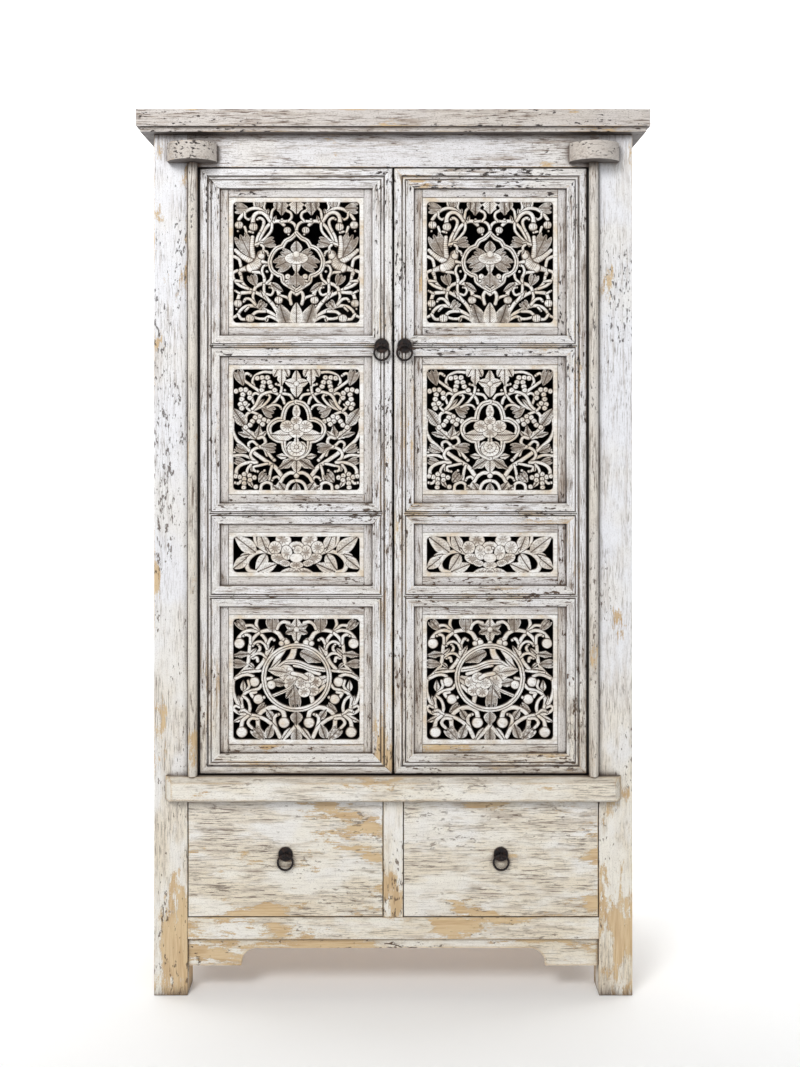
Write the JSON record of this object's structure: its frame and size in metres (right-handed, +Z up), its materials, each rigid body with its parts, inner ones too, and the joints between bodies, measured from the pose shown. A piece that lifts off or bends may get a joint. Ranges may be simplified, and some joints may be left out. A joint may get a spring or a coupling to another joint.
{
  "type": "armoire",
  "caption": "Tall two-door armoire with pierced fret panels, doors on round pivot rods, ring pulls and drawers below, in worn whitewashed pine.",
  "frame": {"origin": "on the floor under the centre of the outer box", "axes": "+Z up, front faces -Y, +X to the right seen from the front"},
  "size_m": [1.046, 0.498, 1.816],
  "materials": {
    "white_paint": "worn chalky white paint over pine, dark glaze in the grooves",
    "carved_paint": "carved pine, worn white paint with dark glaze in the cuts",
    "bare_wood": "plain sawn pine",
    "dark_wood": "dark stained pine",
    "black_iron": "blackened iron, slightly worn"
  },
  "bodies": {
    "carcass": {"left_front_leg": "white_paint", "right_front_leg": "white_paint", "left_back_leg": "white_paint", "right_back_leg": "white_paint", "top_board": "white_paint", "lintel": "white_paint", "door_stop": "dark_wood", "left_pivot_block": "white_paint", "right_pivot_block": "white_paint", "sill": "white_paint", "drawer_divider": "white_paint", "bottom_rail": "white_paint", "front_apron": "white_paint", "side_aprons": "white_paint", "left_side_rails": "white_paint", "right_side_rails": "white_paint", "left_side_panels": "white_paint", "right_side_panels": "white_paint", "back_rails": "bare_wood", "back_panels": "bare_wood", "cupboard_floor": "dark_wood", "lower_shelf": "dark_wood", "upper_shelf": "dark_wood", "shelf_bearers": "dark_wood", "drawer_runners": "bare_wood", "drawer_guides": "bare_wood", "drawer_kickers": "bare_wood"},
    "left_door": {"left_door_outer_stile": "white_paint", "left_door_inner_stile": "white_paint", "left_door_rails": "white_paint", "left_door_strips": "white_paint", "left_fret_birds": "carved_paint", "left_fret_quatrefoil": "carved_paint", "left_fret_peony": "carved_paint", "left_fret_roundel": "carved_paint", "left_pivot_rod": "white_paint", "left_door_pull_plate": "black_iron"},
    "right_door": {"right_door_outer_stile": "white_paint", "right_door_inner_stile": "white_paint", "right_door_rails": "white_paint", "right_door_strips": "white_paint", "right_fret_birds": "carved_paint", "right_fret_quatrefoil": "carved_paint", "right_fret_peony": "carved_paint", "right_fret_roundel": "carved_paint", "right_pivot_rod": "white_paint", "right_door_pull_plate": "black_iron"},
    "left_drawer": {"left_drawer_front": "white_paint", "left_drawer_box": "bare_wood", "left_drawer_bottom": "bare_wood", "left_drawer_pull_plate": "black_iron"},
    "right_drawer": {"right_drawer_front": "white_paint", "right_drawer_box": "bare_wood", "right_drawer_bottom": "bare_wood", "right_drawer_pull_plate": "black_iron"},
    "left_door_ring": {"left_door_ring": "black_iron"},
    "right_door_ring": {"right_door_ring": "black_iron"},
    "left_drawer_ring": {"left_drawer_ring": "black_iron"},
    "right_drawer_ring": {"right_drawer_ring": "black_iron"}
  },
  "joints": [
    {"name": "left_door_swing", "type": "hinge", "parent": "carcass", "child": "left_door", "pos_m": [-0.4115, -0.207, 0.453], "axis": [0, 0, -1], "range_deg": [0, 170]},
    {"name": "left_drawer_slide", "type": "slide", "parent": "carcass", "child": "left_drawer", "axis": [0, -1, 0], "range_m": [0, 0.3]},
    {"name": "left_door_ring_swing", "type": "hinge", "parent": "left_door", "child": "left_door_ring", "pos_m": [-0.0235, -0.2081, 1.337], "axis": [-1, 0, 0], "range_deg": [-7, 150]},
    {"name": "left_drawer_ring_swing", "type": "hinge", "parent": "left_drawer", "child": "left_drawer_ring", "pos_m": [-0.2215, -0.2071, 0.291], "axis": [-1, 0, 0], "range_deg": [-7, 150]},
    {"name": "right_door_swing", "type": "hinge", "parent": "carcass", "child": "right_door", "pos_m": [0.4115, -0.207, 0.453], "axis": [0, 0, 1], "range_deg": [0, 170]},
    {"name": "right_drawer_slide", "type": "slide", "parent": "carcass", "child": "right_drawer", "axis": [0, -1, 0], "range_m": [0, 0.3]},
    {"name": "right_door_ring_swing", "type": "hinge", "parent": "right_door", "child": "right_door_ring", "pos_m": [0.0235, -0.2081, 1.337], "axis": [-1, 0, 0], "range_deg": [-7, 150]},
    {"name": "right_drawer_ring_swing", "type": "hinge", "parent": "right_drawer", "child": "right_drawer_ring", "pos_m": [0.2215, -0.2071, 0.291], "axis": [-1, 0, 0], "range_deg": [-7, 150]}
  ]
}
